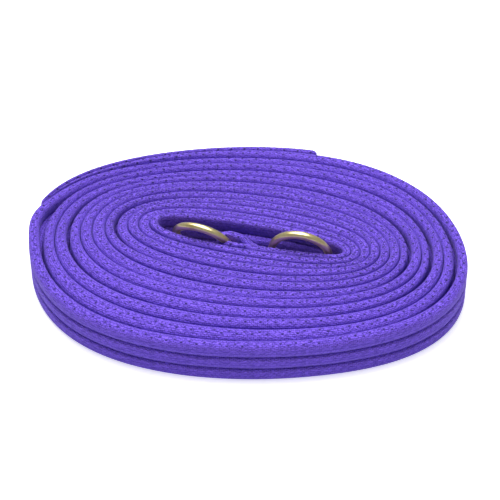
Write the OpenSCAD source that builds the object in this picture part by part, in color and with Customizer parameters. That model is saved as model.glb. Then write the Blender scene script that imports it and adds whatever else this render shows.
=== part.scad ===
// Soft cushion-web line with two brass end rings, wound on edge into an oval coil.
// The origin is on the floor under the middle of the coil. +X runs along the coil, +Y to its back.

/* [Web] */
// Width of the woven web, which stands on edge and is the height of the coil
web_w = 22; // [20:0.5:24]
// Padded tubes woven side by side across the width
ribs = 3; // [3:1:3]
// Thickness of the web where the inner turns press it flat
web_t_inner = 3.1; // [2.9:0.1:3.2]
// Thickness of the web in the outermost turn
web_t_outer = 4.2; // [4:0.1:4.3]
// Thickness of the woven cloth round each padded tube
cloth_t = 0.7; // [0.5:0.1:0.8]

/* [Coil] */
// Half length of the innermost turn
slot_half_length = 48.4; // [48:0.1:50]
// Half depth of the innermost turn
slot_half_depth = 8.6; // [8.4:0.1:9.4]
// Plan angle of the slot in the middle of the coil
slot_angle = -14.5; // [-18:0.5:-12]
// Plan angle by which the turns straighten from the inside out
untwist_angle = 9.7; // [6:0.1:9.8]
// Growth of the half length in each inner turn
pitch_length = 5.1; // [5.1:0.05:5.3]
// Growth of the half depth in each inner turn
pitch_depth = 5.4; // [5.4:0.05:5.6]
// Points that outline one turn
steps = 36; // [32:4:40]

/* [Rings] */
// Inner diameter of each brass ring
ring_id = 25; // [24:0.5:26]
// Diameter of the ring wire
ring_wire = 4; // [3.6:0.1:4]

/* [Folds] */
// Thickness of the folded end that holds the rings, beside the innermost turn
fold_t = 6.6; // [6.2:0.1:6.8]
// Free space round the ring wire inside its pocket
pocket_gap = 0.8; // [0.7:0.05:0.9]
// Diameter of the sewing thread
thread_d = 0.8; // [0.6:0.1:1]

/* [Hidden] */

violet = [0.42, 0.31, 0.83];
thread_violet = [0.33, 0.22, 0.72];
filler_white = [0.88, 0.87, 0.84];
brass = [0.80, 0.70, 0.42];

// The turn number runs from the folded ring end, at the front of the slot, to the hand loop.
// Whole numbers are the right-hand end of a turn, and a quarter turn further is its back.
full_turns = 11;
turn_start = -0.252;
turn_end = 11.44;
fold_turn_from = -0.27;
fold_turn_to = -0.224;
loop_turn_to = 11.21;
layer_gap = 0.3;
// Thickness of the flattened hand loop as a share of the web's
loop_share = 0.7;
facet_n = 64;

// The outer turns lie looser, so the pitch grows with the square of the turn number.
loose_length = 1.65;
loose_depth = 2.44;
// The middle of the turns moves from the slot towards the front of the coil.
slot_y = -1.5;
drift_x = -4.6;
drift_y = -6.4;
sway_y = 1.2;
corner_share = 0.34;
// The outer turns bulge at four places, by this much in the last full turn.
bulge = 1.8;
bulge_phase = 125;
// The last stretch before the hand loop is pulled in against the turn inside it.
end_tuck = 1.5;
tuck_from = 11.2;

function grown(turn) = max(turn, 0) / full_turns;
function half_length(turn) =
    slot_half_length + pitch_length * turn + loose_length * full_turns * pow(grown(turn), 3) / 3;
function half_depth(turn) =
    slot_half_depth + pitch_depth * turn + loose_depth * full_turns * pow(grown(turn), 3) / 3;
function turn_angle(turn) = slot_angle + untwist_angle * pow(grown(turn), 1.2);
function middle(turn) =
    let (k = grown(turn))
    [drift_x * k, slot_y + drift_y * k * k + sway_y * sin(180 * min(k, 1.05))];
function web_t(turn) = web_t_inner + (web_t_outer - web_t_inner) * grown(turn);
function turned(v, angle) = [v[0] * cos(angle) - v[1] * sin(angle), v[0] * sin(angle) + v[1] * cos(angle)];

// Each turn is an ellipse widened by a constant corner radius. The eccentric angle is
// balanced so that points are shared between the tight ends and the long sides.
function corner(turn) = corner_share * half_depth(turn);
function bulging(turn) =
    bulge * pow(grown(turn), 3) * cos(4 * 360 * turn + bulge_phase)
    - end_tuck * pow(max(turn - tuck_from, 0) / (turn_end - tuck_from), 2);
function direction(turn) =
    let (a = half_length(turn) - corner(turn), b = half_depth(turn) - corner(turn),
         c = cos(360 * turn), s = sin(360 * turn) * sqrt(b / a), m = norm([c, s]))
    [c / m, s / m];
function outward_raw(turn) =
    let (a = half_length(turn) - corner(turn), b = half_depth(turn) - corner(turn),
         e = direction(turn), n = [b * e[0], a * e[1]])
    n / norm(n);
function outward(turn) = turned(outward_raw(turn), turn_angle(turn));
function centre_line(turn) =
    let (a = half_length(turn) - corner(turn), b = half_depth(turn) - corner(turn),
         e = direction(turn), n = outward_raw(turn))
    middle(turn) + turned([a * e[0], b * e[1]] + (corner(turn) + bulging(turn)) * n, turn_angle(turn));
function beside(turn, offset) = centre_line(turn) + outward(turn) * offset;
// Points of every strip fall on the same shares of a turn, so that neighbouring turns stay parallel.
function turns_between(from, to, fineness = 1) =
    let (n = steps * fineness)
    concat([from], [for (i = [floor(from * n) + 1 : ceil(to * n) - 1]) i / n], [to]);
// Outer face of the hand loop, which lies flat on the last turn
function loop_face(turn) = (0.5 + loop_share) * web_t(turn) + layer_gap;
function reversed(list) = [for (i = [len(list) - 1 : -1 : 0]) list[i]];

// Rings: centre in plan, plan angle of the plane, lean towards the front, side of the pocket
ring_mid_r = (ring_id + ring_wire) / 2;
left_ring_at = [-25.2, 2.8];
left_ring_angle = -20;
left_ring_lean = 25;
right_ring_at = [24.2, -7.9];
right_ring_angle = -11;
right_ring_lean = 14;

// The frame's origin is the middle of the whole coil's outline.
outline = [for (turn = turns_between(turn_end - 1.2, turn_end)) beside(turn, web_t(turn) / 2)];
loop_outline = [for (turn = turns_between(loop_turn_to, turn_end)) beside(turn, loop_face(turn))];
all_outline = concat(outline, loop_outline);
xs = [for (p = all_outline) p[0]];
ys = [for (p = all_outline) p[1]];
plan_middle = [(min(xs) + max(xs)) / 2, (min(ys) + max(ys)) / 2];

filler_clearance = 0.1;
rib_h = web_w / ribs;
tube_h = rib_h - 2 * cloth_t;
end_past = 0.004;
end_margin = 0.004;

module in_frame() {
    translate([-plan_middle[0], -plan_middle[1], 0]) children();
}

// A strip that follows the turns, between two offsets from the centre line given as
// a share of the web's thickness plus a fixed distance.
module strip(from, to, inner_share, inner_plus, outer_share, outer_plus, h) {
    turns = turns_between(from, to);
    inner = [for (turn = turns) beside(turn, inner_share * web_t(turn) + inner_plus)];
    outer = [for (turn = turns) beside(turn, outer_share * web_t(turn) + outer_plus)];
    linear_extrude(h) polygon(concat(inner, reversed(outer)));
}

// The woven web: one strip with three tubes along it, open at the cut ends
module web_cover() {
    color(violet) in_frame() difference() {
        strip(turn_start, turn_end, -0.5, 0, 0.5, 0, web_w);
        for (i = [0 : ribs - 1])
            translate([0, 0, i * rib_h + cloth_t])
                strip(turn_start - end_past, turn_end + end_past, -0.5, cloth_t, 0.5, -cloth_t, tube_h);
    }
}

// Soft cord that pads one tube of the web along its whole length
module filler_cord(index) {
    inset = cloth_t + filler_clearance;
    color(filler_white) in_frame()
        translate([0, 0, index * rib_h + inset])
            strip(turn_start + end_margin, turn_end - end_margin,
                  -0.5, inset, 0.5, -inset, rib_h - 2 * inset);
}

module lower_filler_cord() filler_cord(0);
module middle_filler_cord() filler_cord(1);
module upper_filler_cord() filler_cord(2);

// Ring lying flat, then stood up, leant towards the front and turned in plan
module standing_ring(at, angle, lean, wire) {
    stand_z = ring_mid_r * cos(lean) + ring_wire / 2;
    translate([at[0], at[1], stand_z]) rotate([90 + lean, 0, angle])
        rotate_extrude($fn = facet_n) translate([ring_mid_r, 0]) circle(d = wire, $fn = 32);
}

module left_ring() {
    color(brass) in_frame()
        standing_ring(left_ring_at, left_ring_angle, left_ring_lean, ring_wire);
}

module right_ring() {
    color(brass) in_frame()
        standing_ring(right_ring_at, right_ring_angle, right_ring_lean, ring_wire);
}

// The folded end is thick round the ring wires and thins out where its cut end is sewn down.
fold_taper = 0.45;
function fold_back(turn) =
    let (share = (turn - fold_turn_from) / (fold_turn_to - fold_turn_from))
    -web_t(turn) / 2 - layer_gap - fold_t * (1 - (1 - fold_taper) * share * share);

// End of the web folded back beside the innermost turn, with a pocket for each ring's wire
module ring_fold() {
    turns = turns_between(fold_turn_from, fold_turn_to, 8);
    last = len(turns) - 1;
    near = [for (turn = turns) beside(turn, -web_t(turn) / 2 - layer_gap)];
    far = [for (i = [0 : last])
              beside(turns[i], fold_back(turns[i]))];
    pocket_wire = ring_wire + 2 * pocket_gap;
    color(violet) in_frame() difference() {
        linear_extrude(web_w) polygon(concat(near, reversed(far)));
        standing_ring(left_ring_at, left_ring_angle, left_ring_lean, pocket_wire);
        standing_ring(right_ring_at, right_ring_angle, right_ring_lean, pocket_wire);
    }
}

stitches = 7;
edge_margin = 1.5;

// One upright row of stitches, half sunk in the face of a strip
module stitch_row(at, rows, z_from, z_to) {
    pitch = (z_to - z_from) / rows;
    for (i = [0 : rows - 1])
        translate([at[0], at[1], z_from + (i + 0.15) * pitch])
            cylinder(d = thread_d, h = 0.7 * pitch, $fn = 24);
}

fold_row_turns = [-0.2535, -0.2455];
module ring_fold_stitching() {
    color(thread_violet) in_frame()
        for (turn = fold_row_turns)
            stitch_row(beside(turn, fold_back(turn)), stitches, edge_margin, web_w - edge_margin);
}

// End of the line folded back outside the last turn, to slip a hand through
module hand_loop() {
    color(violet) in_frame()
        strip(loop_turn_to, turn_end, 0.5, layer_gap, 0.5 + loop_share, layer_gap, web_w);
}

loop_row_turns = [11.218, 11.226];
module hand_loop_stitching() {
    color(thread_violet) in_frame()
        for (turn = loop_row_turns)
            stitch_row(beside(turn, loop_face(turn)), stitches, edge_margin, web_w - edge_margin);
}

web_cover();
upper_filler_cord();
middle_filler_cord();
lower_filler_cord();
ring_fold();
ring_fold_stitching();
hand_loop();
hand_loop_stitching();
left_ring();
right_ring();
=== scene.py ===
"""A soft cushion-web line wound on edge into an oval coil, with two brass rings in the slot."""

import bpy
import numpy as np
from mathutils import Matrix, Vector


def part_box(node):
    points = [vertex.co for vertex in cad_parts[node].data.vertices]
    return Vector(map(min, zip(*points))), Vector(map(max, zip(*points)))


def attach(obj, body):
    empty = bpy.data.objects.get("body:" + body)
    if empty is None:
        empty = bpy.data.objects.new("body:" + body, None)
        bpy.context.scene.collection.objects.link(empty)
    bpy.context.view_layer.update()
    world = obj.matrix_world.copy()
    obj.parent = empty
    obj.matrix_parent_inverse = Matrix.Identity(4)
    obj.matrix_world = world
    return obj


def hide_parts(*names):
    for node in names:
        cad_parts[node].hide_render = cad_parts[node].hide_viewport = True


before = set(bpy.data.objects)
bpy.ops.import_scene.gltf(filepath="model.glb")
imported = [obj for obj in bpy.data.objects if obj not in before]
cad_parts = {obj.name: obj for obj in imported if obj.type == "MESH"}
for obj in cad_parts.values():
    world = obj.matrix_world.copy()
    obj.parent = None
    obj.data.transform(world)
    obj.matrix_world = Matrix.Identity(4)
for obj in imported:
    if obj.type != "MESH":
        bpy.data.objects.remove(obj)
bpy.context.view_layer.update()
MM = 0.001

# ------------------------------------------------------------ the route, as in part.scad, in mm
SLOT_HALF_LENGTH, SLOT_HALF_DEPTH = 48.4, 8.6
PITCH_LENGTH, PITCH_DEPTH = 5.1, 5.4
LOOSE_LENGTH, LOOSE_DEPTH = 1.65, 2.44
SLOT_ANGLE, UNTWIST_ANGLE = -14.5, 9.7
SLOT_Y, DRIFT_X, DRIFT_Y, SWAY_Y = -1.5, -4.6, -6.4, 1.2
CORNER_SHARE = 0.34
BULGE, BULGE_PHASE, BULGE_WAVES = 1.8, 125.0, 4
UNTWIST_POWER, SWAY_TO = 1.2, 1.05
END_TUCK, TUCK_FROM = 1.5, 11.2
FULL_TURNS = 11.0
TURN_START, TURN_END, LOOP_TURN_TO = -0.252, 11.44, 11.21
WEB_T_INNER, WEB_T_OUTER = 3.1, 4.2
LAYER_GAP, LOOP_SHARE = 0.3, 0.7
WEB_W = (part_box("web_cover")[1][2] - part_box("web_cover")[0][2]) / MM
RIBS = 3
RIB_H = WEB_W / RIBS


def turned(v, angle):
    """Plan vectors v turned by angle degrees."""
    c, s = np.cos(np.radians(angle)), np.sin(np.radians(angle))
    return np.stack([v[..., 0] * c - v[..., 1] * s, v[..., 0] * s + v[..., 1] * c], -1)


def route(turn):
    """Centre line and outward normal at each turn number, about the middle of the slot."""
    turn = np.asarray(turn, float)
    k = np.maximum(turn, 0) / FULL_TURNS
    half_x = SLOT_HALF_LENGTH + PITCH_LENGTH * turn + LOOSE_LENGTH * FULL_TURNS * k**3 / 3
    half_y = SLOT_HALF_DEPTH + PITCH_DEPTH * turn + LOOSE_DEPTH * FULL_TURNS * k**3 / 3
    corner = CORNER_SHARE * half_y
    a, b = half_x - corner, half_y - corner
    c, s = np.cos(2 * np.pi * turn), np.sin(2 * np.pi * turn) * np.sqrt(b / a)
    m = np.hypot(c, s)
    c, s = c / m, s / m
    normal = np.stack([b * c, a * s], -1)
    normal /= np.linalg.norm(normal, axis=-1, keepdims=True)
    angle = SLOT_ANGLE + UNTWIST_ANGLE * k**UNTWIST_POWER
    sway = SWAY_Y * np.sin(np.pi * np.minimum(k, SWAY_TO))
    middle = np.stack([DRIFT_X * k, SLOT_Y + DRIFT_Y * k * k + sway], -1)
    bulge = BULGE * k**3 * np.cos(2 * np.pi * BULGE_WAVES * turn + np.radians(BULGE_PHASE))
    tuck = END_TUCK * (np.maximum(turn - TUCK_FROM, 0) / (TURN_END - TUCK_FROM)) ** 2
    oval = np.stack([a * c, b * s], -1) + (corner + bulge - tuck)[..., None] * normal
    return middle + turned(oval, angle), turned(normal, angle)


def web_t(turn):
    """Thickness of the CAD web, which grows outwards."""
    return WEB_T_INNER + (WEB_T_OUTER - WEB_T_INNER) * np.maximum(turn, 0) / FULL_TURNS


def outline_middle():
    """Middle of the coil's outline, which is the frame's origin."""
    outer = np.linspace(TURN_END - 1.2, TURN_END, 900)
    loop = np.linspace(LOOP_TURN_TO, TURN_END, 200)
    p, n = route(outer)
    q, m = route(loop)
    loop_out = (0.5 + LOOP_SHARE) * web_t(loop) + LAYER_GAP
    edge = np.vstack([p + n * web_t(outer)[:, None] / 2, q + m * loop_out[:, None]])
    return (edge.min(0) + edge.max(0)) / 2


MIDDLE = outline_middle()


# ------------------------------------------------------------ lines and meshes
def smooth_noise(x, scale, seed):
    """Repeatable smooth noise between about -1 and 1 that changes over scale."""
    waves = ((1.0, 0.0), (1.83, 1.7), (2.71, 4.1), (4.37, 2.3))
    total = sum(np.sin(x / scale * f + p + seed * (1.3 + f)) / f for f, p in waves)
    return total / 1.6


def along(line):
    """Distance along a line of points."""
    return np.concatenate([[0], np.cumsum(np.linalg.norm(np.diff(line, axis=0), axis=1))])


def resampled(values, s, step):
    """Columns of values, given at distances s, at even steps of about step."""
    at = np.linspace(0, s[-1], max(6, int(round(s[-1] / step)) + 1))
    return np.stack([np.interp(at, s, column) for column in values.T], -1), at


def smoothed(points, step, passes):
    """A polyline rounded off into a curve of even steps."""
    line, _ = resampled(np.asarray(points, float), along(np.asarray(points, float)), step)
    for _ in range(passes):
        line[1:-1] = (line[:-2] + 2 * line[1:-1] + line[2:]) / 4
    return resampled(line, along(line), step)[0]


def right_normals(line):
    """Plan normals on the right-hand side of a line as it runs."""
    d = np.gradient(line, axis=0)
    d /= np.linalg.norm(d, axis=1, keepdims=True)
    return np.stack([d[:, 1], -d[:, 0]], -1)


SIDES = 24
# Exponents of the tube's section on the inner, outer and outermost turns: smaller is boxier
SQUARE_INNER, SQUARE_OUTER, SQUARE_FACE = 0.46, 0.84, 0.62
# A tube's ends are rounded over END_ROUND mm. END_LEAST is the least share of its thickness left
# there, squared, and END_HEIGHT is the share of its height that the rounding leaves alone
END_ROUND, END_LEAST, END_HEIGHT = 3.0, 0.05, 0.55
DIMPLE_POWER = 6


def tube(line, normal, out_half, in_half, low, high,
         start_s=0.0, dimple=None, square=SQUARE_FACE):
    """One padded tube of the web: an oval section with flattened sides, swept along a plan line.

    out_half and in_half are its half thickness towards the normal and away from it, and square
    is smaller for a boxier section. After the vertices and faces come the weave's own map in mm,
    along the web, round the tube and off its crown, and how near the crown each vertex lies.
    """
    rings = len(line)
    s = along(line)
    angle = np.arange(SIDES) * 2 * np.pi / SIDES - np.pi / 2
    out_half, in_half, low, high, square = (
        np.ones(rings) * v for v in (out_half, in_half, low, high, square))
    across = np.sign(np.cos(angle)) * np.abs(np.cos(angle)) ** square[:, None]
    up = np.sign(np.sin(angle)) * np.abs(np.sin(angle)) ** square[:, None]
    end = np.clip(np.minimum(s, s[-1] - s) / END_ROUND, 0, 1)
    end = np.sqrt(np.clip(1 - (1 - end) ** 2, END_LEAST, 1))[:, None]
    half = np.where(across > 0, out_half[:, None], in_half[:, None])
    side = half * across * end
    middle_z, half_z = (low + high) / 2, (high - low) / 2
    z = middle_z[:, None] + half_z[:, None] * up * (END_HEIGHT + (1 - END_HEIGHT) * end)
    if dimple is not None:
        z = z - dimple(start_s + s)[:, None] * np.clip(up, 0, 1) ** DIMPLE_POWER
    xy = line[:, None, :] + normal[:, None, :] * side[..., None]
    verts = np.concatenate([xy, z[..., None]], -1).reshape(-1, 3)
    ends = np.array([[*line[0], middle_z[0]], [*line[-1], middle_z[-1]]])
    girth = 2 * (high - low).mean() + 1.6 * (out_half + in_half).mean()
    round_it = np.broadcast_to(np.arange(SIDES) * girth / SIDES, (rings, SIDES))
    s_all = np.broadcast_to((start_s + s)[:, None], (rings, SIDES))
    weave = np.stack([s_all, round_it, side], -1).reshape(-1, 3)
    weave = np.vstack([weave, [start_s, 0, 0], [start_s + s[-1], 0, 0]])
    crown = (np.clip(up, 0, 1) ** 2).ravel()
    crown = np.concatenate([crown, [0, 0]])
    i, j = np.arange(rings - 1)[:, None] * SIDES, np.arange(SIDES)[None, :]
    k = (j + 1) % SIDES
    quads = np.stack([i + j, i + k, i + SIDES + k, i + SIDES + j], -1).reshape(-1, 4)
    first, last, n = (rings - 1) * SIDES, rings * SIDES, SIDES
    faces = [tuple(q) for q in quads.tolist()]
    faces += [(last, (m + 1) % n, m) for m in range(n)]
    faces += [(last + 1, first + m, first + (m + 1) % n) for m in range(n)]
    return np.vstack([verts, ends]), faces, weave, crown


def joined(parts):
    """Several tubes as one mesh."""
    faces, count = [], 0
    for part in parts:
        faces += [tuple(i + count for i in face) for face in part[1]]
        count += len(part[0])
    return (np.vstack([p[0] for p in parts]), faces, np.vstack([p[2] for p in parts]),
            np.concatenate([p[3] for p in parts]))


def add_web(name, shape, material):
    """A smooth object from a tube's mesh, moved to the frame and turned to metres."""
    verts, faces, weave, crown = shape
    verts = (verts - [MIDDLE[0], MIDDLE[1], 0]) * MM
    mesh = bpy.data.meshes.new(name)
    mesh.from_pydata(verts.tolist(), [], faces)
    mesh.polygons.foreach_set("use_smooth", [True] * len(mesh.polygons))
    mesh.attributes.new("weave", "FLOAT_VECTOR", "POINT").data.foreach_set(
        "vector", np.ascontiguousarray(weave, np.float32).ravel())
    mesh.attributes.new("crown", "FLOAT", "POINT").data.foreach_set(
        "value", np.ascontiguousarray(crown, np.float32))
    mesh.materials.append(material)
    mesh.validate()
    mesh.update()
    obj = bpy.data.objects.new(name, mesh)
    bpy.context.scene.collection.objects.link(obj)
    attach(obj, "coil")
    return obj


# ------------------------------------------------------------ the line's own shape
SECTION_STEP = 1.2
ROUTE_SAMPLES = 40000
PIT_PITCH = 3.6
PIT_DEPTH = 0.28
TUBE_GAP = 0.08
# Half thickness of the web's free faces: in the slot up to a turn number, outside from another
INNER_HALF, OUTER_HALF = 1.7, 2.9
FREE_IN_TO, FREE_IN_OVER = 0.78, 0.04
FREE_OUT_FROM, FREE_OUT_OVER = TURN_END - 1.03, 0.03
SLACK_DEPTH = 0.78
# Turn numbers after which the next turn lies a little loose, at that share of the turn
SLACK_TURNS = (3.5, 6.02, 7.5, 8.0, 9.48, 10.0)
SLACK_SPREAD = 0.13
# Before the hairpin the padding thins out and the web is pressed against the turn inside it
END_PRESS, END_HALF = 2.2, 1.1
# The last turn stands off at the left; the lower tubes fill that room inwards
STAND_OFF, STAND_OFF_AT, STAND_OFF_SPREAD = 2.4, TURN_END - 0.970, 0.030
# The lower tubes of the slot's back wall swell into the slot between the rings
SWELL, SWELL_AT, SWELL_SPREAD = 3.2, 0.2515, 0.020


def slack(turn):
    """Extra gap left outside the turn, where the winding is loose."""
    return sum(SLACK_DEPTH * np.exp(-(((turn - t) / SLACK_SPREAD) ** 2)) for t in SLACK_TURNS)


def waver(turn):
    """How far the border with the next turn wanders outwards."""
    return 0.35 * smooth_noise(turn, 0.11, 3)


def spacing(turn):
    """Distance along the normal from each turn's centre line to the next one out."""
    p, n = route(turn)
    q, _ = route(turn + 1)
    return ((q - p) * n).sum(-1)


def end_share(turn):
    """0 before the last stretch of the line, growing to 1 at the hairpin."""
    return np.clip((turn - TUCK_FROM) / (TURN_END - TUCK_FROM), 0, 1) ** 1.5


def stand_off(turn):
    """How far the last turn stands off at the left, where the hairpin lies on it."""
    return STAND_OFF * np.exp(-(((turn - STAND_OFF_AT) / STAND_OFF_SPREAD) ** 2))


def half_thickness(turn, loose=1.0):
    """Outward and inward half thickness of the web, which fills the room between its neighbours."""
    outward = spacing(turn) / 2 - TUBE_GAP - loose * slack(turn) + waver(turn)
    inward = spacing(turn - 1) / 2 - TUBE_GAP - loose * slack(turn - 1) - waver(turn - 1)
    free_out = np.clip((turn - FREE_OUT_FROM) / FREE_OUT_OVER, 0, 1)
    outward = outward + (OUTER_HALF - outward) * free_out
    free_in = np.clip((FREE_IN_TO - turn) / FREE_IN_OVER, 0, 1)
    inward = inward + (INNER_HALF - inward) * free_in
    end = end_share(turn)
    return outward + (END_HALF - outward) * end, inward - END_PRESS * end


def seam_height(index, s, turn):
    """Height of the border under tube number index, wandering a little along the web."""
    base = index * RIB_H
    if index == 0:
        return base + 0.1 + 0.12 * (1 + smooth_noise(s, 31, 5))
    if index == RIBS:
        waves = 0.3 * smooth_noise(s, 38, 7) + 0.5 * smooth_noise(turn, 0.35, 11)
        return base - 0.25 + waves - 0.5 * slack(turn)
    return base + 0.3 * smooth_noise(s, 23, 8 + index)


def pits(s):
    """Depth of the dimple at each section: one in three lies on a pit of the weave."""
    from_pit = np.abs((s / PIT_PITCH + 0.5) % 1 - 0.5) * PIT_PITCH
    return PIT_DEPTH * np.clip(1 - from_pit / SECTION_STEP, 0, 1)


def coil_line():
    """Turn numbers, centre line, normals and distance along it, at even sections."""
    turn = np.linspace(TURN_START, TURN_END, ROUTE_SAMPLES)
    s = along(route(turn)[0])
    at = np.arange(0, s[-1], SECTION_STEP)
    turn = np.interp(at, s, turn)
    p, n = route(turn)
    return turn, p + n * (stand_off(turn) - END_PRESS * end_share(turn))[:, None], n, at, s[-1]


def add_coil(material):
    """The three padded tubes of the wound line."""
    turn, line, normal, s, length = coil_line()
    square = np.interp(turn, (0, TURN_END - 1.1, TURN_END - 1),
                       (SQUARE_INNER, SQUARE_OUTER, SQUARE_FACE))
    names = ("lower_tube", "middle_tube", "upper_tube")
    made = []
    for index, name in enumerate(names):
        low = seam_height(index, s, turn) + TUBE_GAP
        high = seam_height(index + 1, s, turn) - TUBE_GAP
        top = index == RIBS - 1
        outward, inward = half_thickness(turn, loose=float(top))
        if not top:
            swell = SWELL * np.exp(-(((turn - SWELL_AT) / SWELL_SPREAD) ** 2))
            inward = inward + swell + stand_off(turn)
        dimple = pits if top else None
        shape = tube(line, normal, outward, inward, low, high, dimple=dimple, square=square)
        obj = add_web(name, shape, material)
        made.append(obj)
    return made


# ------------------------------------------------------------ the folded ends
FOLD_STEP = 0.8
FOLD_T = 2.1
# The bundle between the rings is plumper, about a share of the fold's length
FOLD_PLUMP, FOLD_PLUMP_AT, FOLD_PLUMP_SPREAD = 2.0, 0.38, 0.11
# The fold's upper edge drops by FOLD_DROP mm from a share of its length, over a further share
FOLD_DROP, FOLD_DROP_FROM, FOLD_DROP_OVER = 7.0, 0.5, 0.22
LOOP_T_HAIRPIN, LOOP_T_TAIL = 1.7, 3.9
# Where the weave of the folded ends starts on the web's own length in mm, past the coil's
FOLD_WEAVE_AT, LOOP_WEAVE_AT = 4600.0, 4700.0
STITCHES, STITCH_EDGE, STITCH_LENGTH, STITCH_RADIUS = 14, 1.6, 1.15, 0.26


def beside(turn, offset):
    """A plan point beside the route, offset outwards."""
    p, n = route(np.asarray(turn, float))
    return p + n * offset


def ribbed_strip(line, thickness, start_s, height=WEB_W - 0.3, plump=0.0):
    """A folded length of the web along a plan line: three stacked tubes, plump on the left."""
    normal = right_normals(line)
    parts = []
    for index in range(RIBS):
        low = height * index / RIBS + (0.25 if index == 0 else 0.08)
        high = height * (index + 1) / RIBS - 0.08
        dimple = pits if index == RIBS - 1 else None
        parts.append(tube(line, normal, thickness / 2, thickness / 2 + plump, low, high,
                          start_s=start_s, dimple=dimple))
    return joined(parts)


def add_ring_fold(material):
    """The inner end folded round the ring wires and sewn down beside the first turn; its line."""
    # Turn number, offset and thickness at each bend: round the left wire, pinched, round the right
    bends = ((-0.2470, 0.1, 3.0), (-0.2590, 0.6, 3.3), (-0.2655, 0.1, 2.9), (-0.2688, -1.7, 2.2),
             (-0.2690, -3.8, 2.2), (-0.2675, -5.6, 2.2), (-0.2635, -6.6, 2.6), (-0.2580, -6.0, 3.6),
             (-0.2500, -4.9, 4.2), (-0.2450, -5.8, 3.2), (-0.2410, -8.2, 2.2), (-0.2370, -9.4, 2.1),
             (-0.2330, -8.5, 2.1), (-0.2300, -6.0, 2.1), (-0.2270, -3.6, 2.1), (-0.2200, -2.9, 2.1))
    points = [(*beside(turn, offset), thickness) for turn, offset, thickness in bends]
    line, thickness = np.split(smoothed(points, FOLD_STEP, 5), [2], axis=1)
    share = np.linspace(0, 1, len(line))
    height = WEB_W - 0.4 - FOLD_DROP * np.clip((share - FOLD_DROP_FROM) / FOLD_DROP_OVER, 0, 1)
    plump = FOLD_PLUMP * np.exp(-(((share - FOLD_PLUMP_AT) / FOLD_PLUMP_SPREAD) ** 2))
    shape = ribbed_strip(line, thickness[:, 0], FOLD_WEAVE_AT, height, plump)
    obj = add_web("ring_fold_web", shape, material)
    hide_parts("ring_fold")
    return line


def add_hand_loop(material):
    """The outer end turned back at the hairpin and sewn flat outside the last turn; its line."""
    turns = np.linspace(TURN_END - 0.008, LOOP_TURN_TO, 60)
    outward, _ = half_thickness(turns)
    thick = np.interp(turns, (LOOP_TURN_TO, TURN_END), (LOOP_T_TAIL, LOOP_T_HAIRPIN))
    away = outward - END_PRESS * end_share(turns) + 0.15 + thick / 2
    start = -END_PRESS
    bend = [beside(TURN_END, start),
            beside(TURN_END + 0.004, start + 0.2),
            beside(TURN_END + 0.0055, (start + away[0]) / 2),
            beside(TURN_END + 0.003, away[0] - 0.3)]
    back = [beside(t, a) for t, a in zip(turns, away)]
    line = smoothed(bend + back, SECTION_STEP, 4)
    thickness = np.linspace(LOOP_T_HAIRPIN, LOOP_T_TAIL, len(line))
    obj = add_web("hand_loop_web", ribbed_strip(line, thickness, LOOP_WEAVE_AT), material)
    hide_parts("hand_loop")
    return line


def stitch(centre, direction, length, radius):
    """One stitch: a bent thread that dips into the cloth at both ends."""
    segments, steps = 8, 7
    direction = np.asarray(direction, float)
    t = np.linspace(-1, 1, steps)
    up = np.array([0.0, 0.0, 1.0])
    dip = direction * (t * t * radius)[:, None]
    middle = np.asarray(centre)[None, :] + up * (t * length / 2)[:, None] - dip
    side = np.cross(up, direction)
    angle = np.arange(segments) * 2 * np.pi / segments
    r = radius * np.sqrt(np.clip(1 - t**4, 0.15, 1))
    ring = np.cos(angle)[:, None] * direction + np.sin(angle)[:, None] * side
    verts = (middle[:, None, :] + ring[None] * r[:, None, None]).reshape(-1, 3)
    faces = [(i * segments + j, i * segments + (j + 1) % segments,
              (i + 1) * segments + (j + 1) % segments, (i + 1) * segments + j)
             for i in range(steps - 1) for j in range(segments)]
    faces.append(tuple(range(segments))[::-1])
    faces.append(tuple((steps - 1) * segments + j for j in range(segments)))
    flat = np.zeros((len(verts), 3))
    return verts, faces, flat, np.zeros(len(verts))


def add_stitches(name, node, line, at, side, thickness, material):
    """Two upright rows of stitches through a folded strip, at distances from its sewn end."""
    normal = right_normals(line) * side
    s = along(line)
    parts = []
    for back in at:
        i = int(np.searchsorted(s, s[-1] - back))
        face = line[i] + normal[i] * (thickness / 2 - 0.1)
        for k in range(STITCHES):
            z = STITCH_EDGE + k * (WEB_W - 2 * STITCH_EDGE) / (STITCHES - 0.5)
            parts.append(stitch([*face, z], [*normal[i], 0.0], STITCH_LENGTH, STITCH_RADIUS))
    obj = add_web(name, joined(parts), material)
    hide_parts(node)


# ------------------------------------------------------------ materials
def srgb(r, g, b):
    """A linear colour from 0-255 display values."""
    c = np.array([r, g, b]) / 255
    linear = np.where(c <= 0.04045, c / 12.92, ((c + 0.055) / 1.055) ** 2.4)
    return (*linear.tolist(), 1.0)


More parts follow.
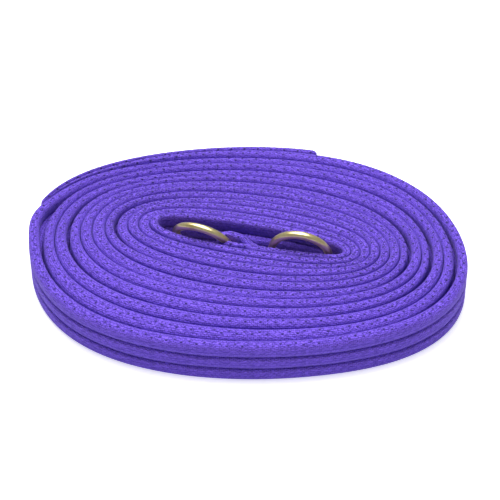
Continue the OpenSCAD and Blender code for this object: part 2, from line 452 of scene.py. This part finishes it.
class Nodes:
    """Shorthand for building one material's node tree."""

    def __init__(self, name):
        self.material = bpy.data.materials.new(name)
        self.material.use_nodes = True
        self.tree = self.material.node_tree
        self.shader = self.tree.nodes["Principled BSDF"]

    def add(self, kind, **inputs):
        """A node with these inputs, or properties where it has no such input."""
        node = self.tree.nodes.new(kind)
        for key, value in inputs.items():
            name = key.replace("_", " ")
            if name in node.inputs:
                self.put(node.inputs[name], value)
            else:
                setattr(node, key, value)
        return node

    def put(self, socket, value):
        """Link a socket to another one, or set its value."""
        if isinstance(value, bpy.types.NodeSocket):
            self.tree.links.new(value, socket)
        else:
            socket.default_value = value

    def math(self, operation, a, b=0.0, c=0.0):
        node = self.tree.nodes.new("ShaderNodeMath")
        node.operation = operation
        for socket, value in zip(node.inputs, (a, b, c)):
            self.put(socket, value)
        return node.outputs[0]

    def ramp(self, value, low, high):
        """0 below low and 1 above high, smooth between them."""
        node = self.tree.nodes.new("ShaderNodeMapRange")
        node.interpolation_type = "SMOOTHSTEP"
        self.put(node.inputs["Value"], value)
        self.put(node.inputs["From Min"], low)
        self.put(node.inputs["From Max"], high)
        return node.outputs["Result"]

    def mix(self, share, a, b):
        """Colour a with this share of colour b."""
        node = self.tree.nodes.new("ShaderNodeMix")
        node.data_type = "RGBA"
        self.put(node.inputs["Factor"], share)
        self.put(node.inputs["A"], a)
        self.put(node.inputs["B"], b)
        return node.outputs["Result"]

    def scaled(self, vector, scale):
        node = self.tree.nodes.new("ShaderNodeVectorMath")
        node.operation = "MULTIPLY"
        self.put(node.inputs[0], vector)
        self.put(node.inputs[1], scale)
        return node.outputs[0]

    def noise(self, vector, scale, detail=3.0, rough=0.5):
        node = self.add("ShaderNodeTexNoise", Vector=vector, Scale=scale, Detail=detail,
                        Roughness=rough)
        return node.outputs["Fac"]

    def bump(self, height, strength, distance):
        node = self.add("ShaderNodeBump", Height=height, Strength=strength, Distance=distance)
        return node.outputs["Normal"]


VIOLET = srgb(90, 57, 192)
# The deep violet darkens the yarn at random in places, and is also the painted shade on the tubes'
# sides and in the gaps between the floats
VIOLET_DEEP_TONE_AND_SHADE = srgb(52, 27, 141)
VIOLET_BRIGHT = srgb(134, 99, 245)
# Painted shade down in the pits of the weave
VIOLET_PIT_SHADE = srgb(36, 15, 104)
VIOLET_SHEEN = srgb(190, 170, 255)
THREAD_DARK, THREAD_LIGHT = srgb(72, 46, 168), srgb(118, 92, 218)
BRASS_LIGHT, BRASS_DULL = srgb(236, 222, 166), srgb(214, 194, 128)
# The floats of yarn on the surface and the gap round them, in mm
FLOAT_LENGTH, FLOAT_WIDTH, FLOAT_GAP = 1.9, 1.0, 0.34
# Rows of pits in mm: how far each row lies from the crown, and the pit's inner and outer radius
PIT_ROW = (0.75, 0.25, 0.72)
FINE_PIT_ROW = (0.35, 0.18, 0.5)
# Distance along the web in mm by which the weave has closed up
OPEN_WEAVE_TO = 2600.0
# Length in mm of the faint cross bands of the web
BAND_LENGTH = 3.3


def pit_rows(n, u, off, pitch, aside, inner, outer):
    """1 in the pits of two staggered rows along the web, each aside from the crown, else 0."""
    phase = n.math("MULTIPLY", u, 1 / pitch)
    nearest = n.math("ROUND", phase)
    row = n.math("SUBTRACT", n.math("FLOORED_MODULO", nearest, 2.0), 0.5)
    du = n.math("MULTIPLY", n.math("SUBTRACT", phase, nearest), pitch)
    dv = n.math("MULTIPLY_ADD", row, 2 * aside, off)
    squares = n.math("MULTIPLY_ADD", n.math("MULTIPLY", du, du), 0.7, n.math("MULTIPLY", dv, dv))
    return n.math("SUBTRACT", 1.0, n.ramp(n.math("SQRT", squares), inner, outer))


def webbing():
    """Violet woven cloth: staggered floats of yarn, rows of open pits on the crown, fine fuzz."""
    n = Nodes("violet_webbing")
    weave = n.add("ShaderNodeAttribute", attribute_name="weave").outputs["Vector"]
    crown = n.add("ShaderNodeAttribute", attribute_name="crown").outputs["Fac"]
    apart = n.add("ShaderNodeSeparateXYZ", Vector=weave)
    u, v, off = apart.outputs[0], apart.outputs[1], apart.outputs[2]
    flat = n.scaled(weave, (1.0, 1.0, 0.0))
    wander = n.noise(n.scaled(flat, (0.45, 0.8, 0.0)), 1.0, 3.0)
    shifted = n.add("ShaderNodeCombineXYZ", X=u, Y=n.math("MULTIPLY_ADD", wander, 1.6, v))
    bricks = n.add("ShaderNodeTexBrick", Vector=shifted.outputs[0], Scale=1.0, Bias=0.0,
                   Mortar_Size=FLOAT_GAP, Mortar_Smooth=0.8,
                   Brick_Width=FLOAT_LENGTH, Row_Height=FLOAT_WIDTH,
                   Color1=(0.25, 0.25, 0.25, 1), Color2=(0.75, 0.75, 0.75, 1),
                   Mortar=(0.5, 0.5, 0.5, 1))
    yarn_tone = n.add("ShaderNodeSeparateColor", Color=bricks.outputs["Color"]).outputs[0]
    # The gaps between the floats open on the crown, in some places more than in others
    open_here = n.ramp(n.noise(n.scaled(flat, (0.5, 0.9, 0.0)), 1.0, 3.0, 0.6), 0.3, 0.62)
    up_top = n.math("MULTIPLY_ADD", n.ramp(crown, 0.05, 0.6), 0.4, 0.55)
    shown = n.math("MULTIPLY", up_top, open_here)
    gap = n.math("MULTIPLY", bricks.outputs["Fac"], shown)
    on_crown = n.ramp(crown, 0.35, 0.6)
    uneven = n.ramp(n.noise(n.scaled(flat, (0.2, 0.2, 0.0)), 1.0, 1.0), 0.25, 0.5)
    pit = n.math("MULTIPLY", pit_rows(n, u, off, PIT_PITCH, *PIT_ROW), uneven)
    # The tight inner turns stretch the weave open between the pits as well
    tight = n.math("SUBTRACT", 1.0, n.ramp(u, OPEN_WEAVE_TO / 2, OPEN_WEAVE_TO))
    fine = n.math("MULTIPLY", pit_rows(n, u, off, PIT_PITCH / 2, *FINE_PIT_ROW), tight)
    pit = n.math("MULTIPLY", n.math("MAXIMUM", pit, n.math("MULTIPLY", fine, 0.75)), on_crown)
    fuzz = n.noise(flat, 2.2, 4.0, 0.7)
    grain = n.ramp(n.noise(n.scaled(flat, (0.36, 1.7, 0.0)), 1.0, 2.0, 0.6), 0.44, 0.64)
    cloud = n.noise(n.scaled(flat, (0.05, 0.25, 0.0)), 1.0, 2.0)
    bright = n.math("MULTIPLY_ADD", n.ramp(yarn_tone, 0.1, 0.9), 0.5, 0.6)
    colour = n.mix(bright, VIOLET, VIOLET_BRIGHT)
    colour = n.mix(n.math("MULTIPLY", n.ramp(fuzz, 0.42, 0.75), 0.35), colour, VIOLET_DEEP_TONE_AND_SHADE)
    colour = n.mix(n.math("MULTIPLY", grain, 0.5), colour, VIOLET_DEEP_TONE_AND_SHADE)
    # Painted shade in the gaps between the floats of yarn
    colour = n.mix(n.math("MULTIPLY", gap, 0.9), colour, VIOLET_DEEP_TONE_AND_SHADE)
    colour = n.mix(n.math("MULTIPLY", n.ramp(cloud, 0.3, 0.7), 0.14), colour, VIOLET_DEEP_TONE_AND_SHADE)
    # Painted shade: below the crown, on the tubes' sides and undersides, the colour is mixed up to
    # halfway to the deep violet
    painted_side_shade = n.math("MULTIPLY_ADD", n.ramp(crown, 0.0, 0.4), -0.5, 0.5)
    colour = n.mix(painted_side_shade, colour, VIOLET_DEEP_TONE_AND_SHADE)
    # Painted shade down in the pits
    colour = n.mix(n.math("MULTIPLY", pit, 0.9), colour, VIOLET_PIT_SHADE)
    n.put(n.shader.inputs["Base Color"], colour)
    n.put(n.shader.inputs["Roughness"], 0.82)
    n.put(n.shader.inputs["Sheen Weight"], 0.25)
    n.put(n.shader.inputs["Sheen Roughness"], 0.5)
    n.put(n.shader.inputs["Sheen Tint"], VIOLET_SHEEN)
    n.put(n.shader.inputs["Specular IOR Level"], 0.25)
    height = n.math("SUBTRACT", n.math("MULTIPLY", fuzz, 0.35), n.math("MULTIPLY", gap, 0.8))
    height = n.math("SUBTRACT", height, n.math("MULTIPLY", pit, 1.6))
    bands = n.math("SINE", n.math("MULTIPLY", u, 2 * np.pi / BAND_LENGTH))
    height = n.math("ADD", height, n.math("MULTIPLY", bands, 0.12))
    n.put(n.shader.inputs["Normal"], n.bump(height, 1.0, 0.0005))
    return n.material


def sewing_thread():
    """Twisted polyester thread in a slightly deeper violet."""
    n = Nodes("violet_thread")
    place = n.add("ShaderNodeTexCoord").outputs["Object"]
    twist = n.add("ShaderNodeTexWave", Vector=place, Scale=900.0, Distortion=1.5)
    colour = n.mix(twist.outputs["Fac"], THREAD_DARK, THREAD_LIGHT)
    n.put(n.shader.inputs["Base Color"], colour)
    n.put(n.shader.inputs["Roughness"], 0.55)
    n.put(n.shader.inputs["Normal"], n.bump(twist.outputs["Fac"], 0.5, 0.0001))
    return n.material


def polished_brass():
    """Pale brass plate on the rings: mirror-like, faintly brushed and clouded by handling."""
    n = Nodes("pale_brass")
    place = n.add("ShaderNodeTexCoord").outputs["Object"]
    cloud = n.noise(place, 160.0, 4.0, 0.6)
    brushed = n.noise(n.scaled(place, (1.0, 1.0, 9.0)), 900.0, 3.0, 0.6)
    colour = n.mix(n.ramp(cloud, 0.35, 0.75), BRASS_LIGHT, BRASS_DULL)
    n.put(n.shader.inputs["Base Color"], colour)
    n.put(n.shader.inputs["Metallic"], 1.0)
    rough = n.math("MULTIPLY_ADD", cloud, 0.12, 0.25)
    n.put(n.shader.inputs["Roughness"], rough)
    n.put(n.shader.inputs["Normal"], n.bump(brushed, 0.12, 0.00005))
    return n.material


# Inside this ellipse, in m, the floor under the coil is painted violet grey shade, so the rings
# don't mirror it
FLOOR_SHADE_HALF = (0.110, 0.079)
FLOOR_SHADE, FLOOR_WHITE = (0.22, 0.17, 0.38, 1), (0.95, 0.95, 0.95, 1)
FLOOR_GLOW = 0.6


def floor_material():
    """Matt white that glows a little, and painted violet grey shade under the coil."""
    n = Nodes("white_floor")
    n.put(n.shader.inputs["Roughness"], 0.9)
    n.put(n.shader.inputs["Specular IOR Level"], 0.1)
    shrink = (1 / FLOOR_SHADE_HALF[0], 1 / FLOOR_SHADE_HALF[1], 0.0)
    place = n.scaled(n.add("ShaderNodeTexCoord").outputs["Object"], shrink)
    away = n.add("ShaderNodeVectorMath", operation="LENGTH", Vector=place).outputs["Value"]
    outside = n.ramp(away, 0.85, 0.95)
    # Painted violet grey shade under the coil, white outside it
    n.put(n.shader.inputs["Base Color"], n.mix(outside, FLOOR_SHADE, FLOOR_WHITE))
    n.put(n.shader.inputs["Emission Color"], (1, 1, 1, 1))
    n.put(n.shader.inputs["Emission Strength"], n.math("MULTIPLY", outside, FLOOR_GLOW))
    return n.material


# ------------------------------------------------------------ camera, floor and light
CAMERA_ELEVATION = 40.0
CAMERA_DISTANCE = 0.850
CAMERA_LENS, CAMERA_SENSOR, CAMERA_SHIFT = 119.8, 36.0, -0.005
CAMERA_NEAR, CAMERA_FAR = 0.05, 20
AIM_HEIGHT = 0.011
FLOOR_HALF, FLOOR_Z = 4, -0.0002
# Place, size and power of each lamp
SOFTBOX = ((-0.15, 0.55, 1.4), 1.2, 26.0)
OVERHEAD = ((0.02, -0.03, 0.32), 0.14, 0.55)
LAMP_AIM = (0, 0, 0.01)
SURROUND = 0.31


def add_camera():
    """The camera in front of the coil, aimed at the middle of the slot."""
    data = bpy.data.cameras.new("camera")
    data.lens, data.sensor_width, data.shift_x = CAMERA_LENS, CAMERA_SENSOR, CAMERA_SHIFT
    data.clip_start, data.clip_end = CAMERA_NEAR, CAMERA_FAR
    cam = bpy.data.objects.new("camera", data)
    aim = Vector((-MIDDLE[0] * MM, -MIDDLE[1] * MM, AIM_HEIGHT))
    e = np.radians(CAMERA_ELEVATION)
    cam.location = aim + CAMERA_DISTANCE * Vector((0, -np.cos(e), np.sin(e)))
    cam.rotation_euler = (np.pi / 2 - e, 0, 0)
    bpy.context.scene.collection.objects.link(cam)
    bpy.context.scene.camera = cam


def add_light(name, place, size, power):
    """A soft square lamp aimed at the coil."""
    data = bpy.data.lights.new(name, "AREA")
    data.size, data.energy = size, power
    lamp = bpy.data.objects.new(name, data)
    lamp.location = place
    lamp.rotation_euler = (Vector(place) - Vector(LAMP_AIM)).to_track_quat("Z", "Y").to_euler()
    bpy.context.scene.collection.objects.link(lamp)


def add_studio():
    """White floor, a big softbox behind and above, a small lamp over the slot, a white surround."""
    mesh = bpy.data.meshes.new("floor")
    corners = [(x * FLOOR_HALF, y * FLOOR_HALF, 0) for x, y in ((-1, -1), (1, -1), (1, 1), (-1, 1))]
    mesh.from_pydata(corners, [], [(0, 1, 2, 3)])
    mesh.materials.append(floor_material())
    floor = bpy.data.objects.new("floor", mesh)
    floor.location.z = FLOOR_Z
    bpy.context.scene.collection.objects.link(floor)
    add_light("softbox", *SOFTBOX)
    add_light("overhead", *OVERHEAD)
    world = bpy.data.worlds.new("surround")
    world.use_nodes = True
    background = world.node_tree.nodes["Background"]
    background.inputs["Color"].default_value = (1, 1, 1, 1)
    background.inputs["Strength"].default_value = SURROUND
    bpy.context.scene.world = world
    bpy.context.scene.view_settings.view_transform = "Standard"


add_camera()
cloth = webbing()
tubes = add_coil(cloth)
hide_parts("web_cover", "lower_filler_cord")
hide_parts("middle_filler_cord")
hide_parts("upper_filler_cord")
fold_line = add_ring_fold(cloth)
loop_line = add_hand_loop(cloth)
thread = sewing_thread()
add_stitches("ring_fold_thread", "ring_fold_stitching", fold_line, (1.6, 4.2), 1, FOLD_T, thread)
add_stitches("hand_loop_thread", "hand_loop_stitching", loop_line, (3.0, 6.0), -1, LOOP_T_TAIL,
             thread)
brass = polished_brass()
for ring in ("left_ring", "right_ring"):
    for material_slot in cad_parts[ring].material_slots:
        material_slot.material = brass
add_studio()
